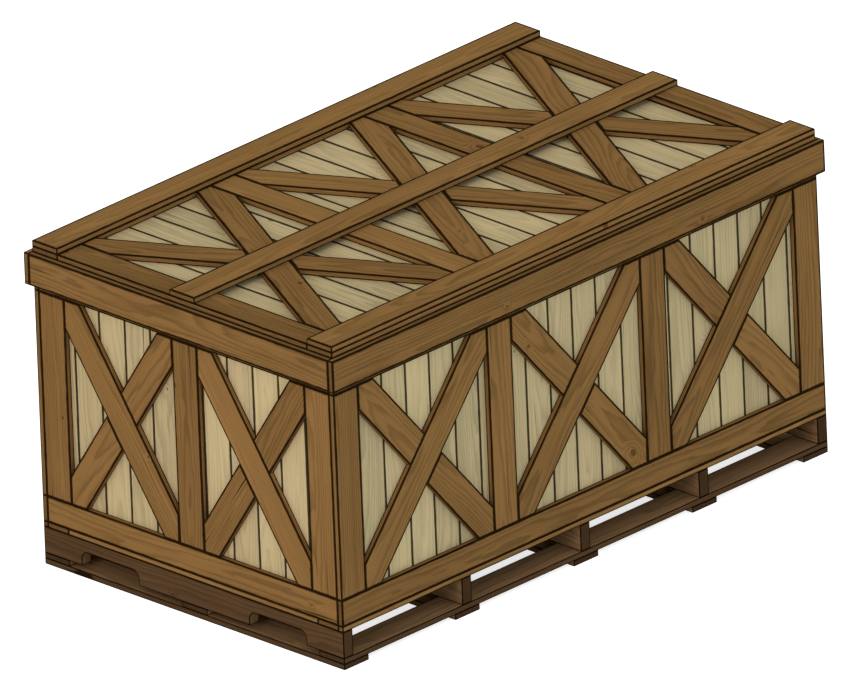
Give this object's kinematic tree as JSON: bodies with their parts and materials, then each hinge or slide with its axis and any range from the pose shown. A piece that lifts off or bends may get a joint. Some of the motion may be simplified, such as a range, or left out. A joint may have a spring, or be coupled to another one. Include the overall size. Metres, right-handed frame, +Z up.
{
  "type": "shipping crate",
  "caption": "Wooden shipping crate: cross-braced framed panels on a notched pallet base, closed by a skirted lid that lifts off.",
  "frame": {"origin": "on the ground, under the middle of the crate", "axes": "+X along the crate's length, +Y across it towards the back wall, +Z up"},
  "size_m": [2.037, 1.237, 1.018],
  "materials": {
    "frame_wood": "satin",
    "sheathing_wood": "matte",
    "pallet_wood": "matte",
    "nail_steel": "satin"
  },
  "bodies": {
    "crate": {"ground_board_1": "pallet_wood", "ground_board_2": "pallet_wood", "ground_board_3": "pallet_wood", "ground_board_4": "pallet_wood", "ground_board_5": "pallet_wood", "skid_board_front": "pallet_wood", "skid_board_middle": "pallet_wood", "skid_board_back": "pallet_wood", "stringer_1": "pallet_wood", "stringer_2": "pallet_wood", "stringer_3": "pallet_wood", "stringer_4": "pallet_wood", "stringer_5": "pallet_wood", "floor_edge_strip_front": "frame_wood", "floor_edge_strip_back": "frame_wood", "floor_side_cleat_front": "frame_wood", "floor_side_cleat_back": "frame_wood", "floor_cross_cleats": "frame_wood", "floor_boards": "sheathing_wood", "front_bottom_rail": "frame_wood", "front_top_rail": "frame_wood", "front_uprights": "frame_wood", "front_braces": "frame_wood", "front_half_braces": "frame_wood", "front_sheathing": "sheathing_wood", "back_bottom_rail": "frame_wood", "back_top_rail": "frame_wood", "back_uprights": "frame_wood", "back_braces": "frame_wood", "back_half_braces": "frame_wood", "back_sheathing": "sheathing_wood", "left_bottom_rail": "frame_wood", "left_top_rail": "frame_wood", "left_uprights": "frame_wood", "left_braces": "frame_wood", "left_half_braces": "frame_wood", "left_sheathing": "sheathing_wood", "right_bottom_rail": "frame_wood", "right_top_rail": "frame_wood", "right_uprights": "frame_wood", "right_braces": "frame_wood", "right_half_braces": "frame_wood", "right_sheathing": "sheathing_wood", "pallet_nails": "nail_steel", "corner_nails": "nail_steel"},
    "lid": {"lid_boards": "sheathing_wood", "lid_side_cleat_front": "frame_wood", "lid_side_cleat_back": "frame_wood", "lid_cross_cleats": "frame_wood", "lid_braces": "frame_wood", "lid_half_braces": "frame_wood", "lid_skirt_front": "frame_wood", "lid_skirt_back": "frame_wood", "lid_skirt_left": "frame_wood", "lid_skirt_right": "frame_wood", "lid_batten_front": "frame_wood", "lid_batten_middle": "frame_wood", "lid_batten_back": "frame_wood"}
  },
  "joints": [
    {"name": "lid_lift", "type": "slide", "parent": "crate", "child": "lid", "axis": [0, 0, 1], "range_m": [0, 0.3]}
  ]
}
